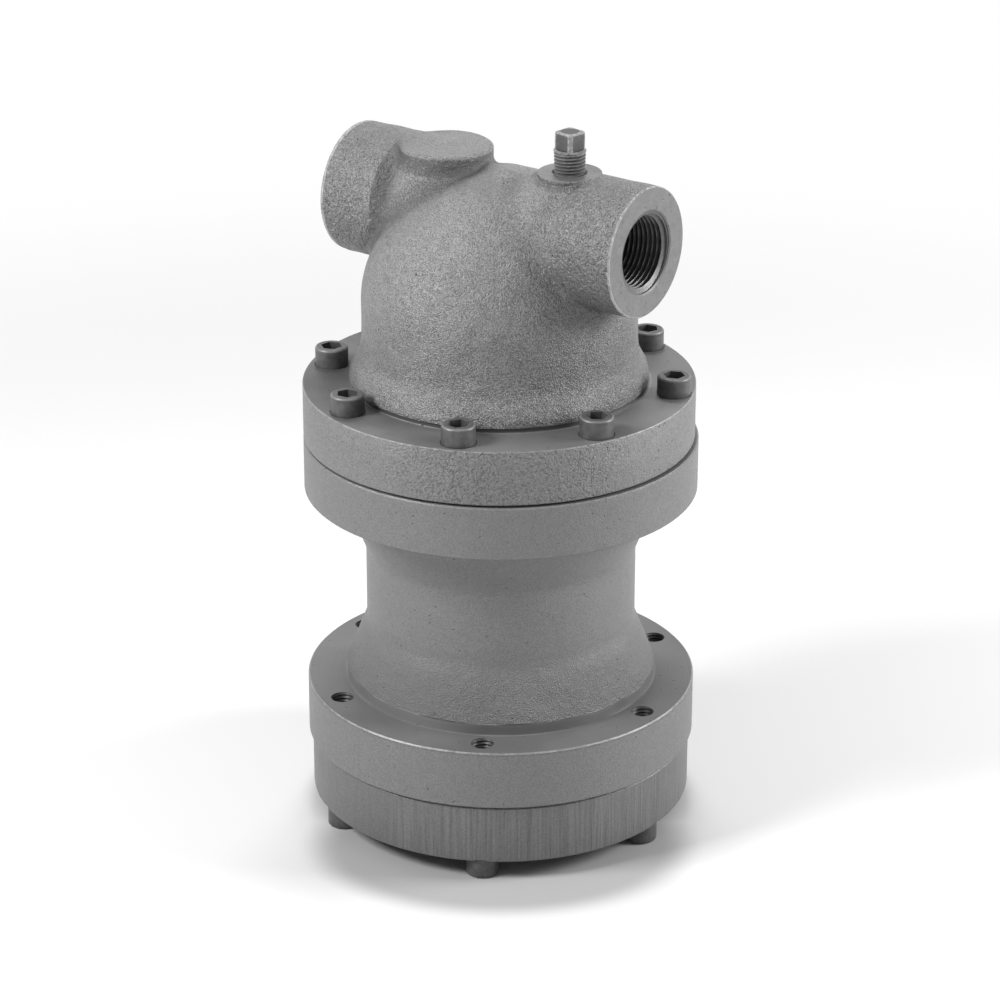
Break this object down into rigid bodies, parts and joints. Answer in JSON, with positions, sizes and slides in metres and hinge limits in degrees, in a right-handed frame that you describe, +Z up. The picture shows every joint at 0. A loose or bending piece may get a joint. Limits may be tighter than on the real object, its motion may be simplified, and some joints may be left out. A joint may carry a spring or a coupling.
{
  "type": "liquid separator",
  "caption": "Upright in-line liquid separator: flanged body, domed cap with opposed pipe ports and a vent plug, bottom cover with drain; inner vanes spin liquid out of gas.",
  "frame": {"origin": "on the body's axis, in the plane of the undersides of the screw heads that the separator stands on", "axes": "+Z up along the body's axis, +X towards the outlet port, -X towards the inlet port"},
  "size_m": [0.1662, 0.1662, 0.3076],
  "materials": {
    "cap": "dull grey, as cast on the walls and turned on the flange faces",
    "body": "dull grey, as cast on the walls and turned on the flange faces",
    "bottom_cover": "turned, with faint upright marks on its edge",
    "gasket": "flat black sheet",
    "cap_screws": "dull grey steel",
    "cover_screws": "dull grey steel",
    "vent_plug": "bare steel, brighter on its top",
    "vane_ring": "as cast",
    "steel": "turned steel"
  },
  "bodies": {
    "root": {"cap": "cap", "cap_gasket": "gasket", "body": "body", "cover_gasket": "gasket", "bottom_cover": "bottom_cover", "cap_screws": "cap_screws", "cover_screws": "cover_screws", "vent_plug": "vent_plug", "outlet_tube": "steel", "vane_ring": "vane_ring", "tube_nut": "steel", "baffle_plate": "steel", "baffle_screws": "steel", "baffle_post_1": "steel", "baffle_post_2": "steel", "baffle_post_3": "steel"}
  },
  "joints": []
}
